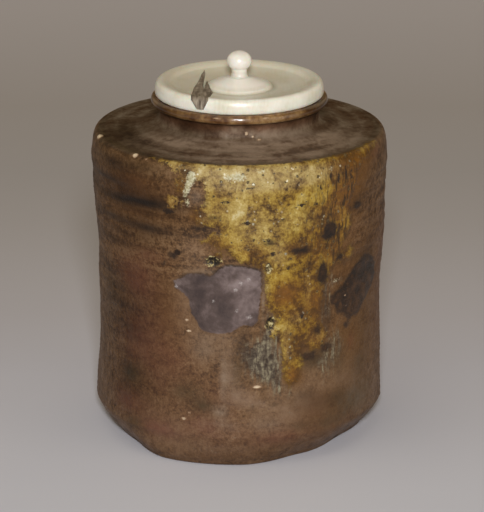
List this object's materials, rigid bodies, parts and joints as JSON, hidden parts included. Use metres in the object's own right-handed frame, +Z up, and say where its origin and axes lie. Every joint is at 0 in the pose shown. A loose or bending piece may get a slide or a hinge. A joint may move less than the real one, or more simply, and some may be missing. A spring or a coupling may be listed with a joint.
{
  "type": "lidded tea jar",
  "caption": "Small shouldered tea jar of ash-glazed stoneware, hollow with a rolled lip, closed by a turned ivory-coloured lid with a ball knob that lifts off and turns.",
  "frame": {"origin": "middle of the foot, on the surface the jar stands on", "axes": "+Z up through the knob, -Y to the front, where the ash glaze ran down"},
  "size_m": [0.066, 0.066, 0.0856],
  "materials": {
    "ash_glazed_stoneware": "satin",
    "lid_ivory": "polished",
    "knob_ivory": "polished",
    "inlay_horn": "satin",
    "leafed_paper": "satin"
  },
  "bodies": {
    "jar": {"jar_body": "ash_glazed_stoneware"},
    "lining": {"lid_lining": "leafed_paper"},
    "lid": {"lid_disc": "lid_ivory", "lid_knob": "knob_ivory", "su_inlay": "inlay_horn"}
  },
  "joints": [
    {"name": "lid_lift", "type": "slide", "parent": "jar", "child": "lining", "axis": [0, 0, 1], "range_m": [0, 0.03]},
    {"name": "lid_turn", "type": "hinge", "parent": "lining", "child": "lid", "pos_m": [0, 0, 0.0758], "axis": [0, 0, 1], "continuous": true}
  ]
}
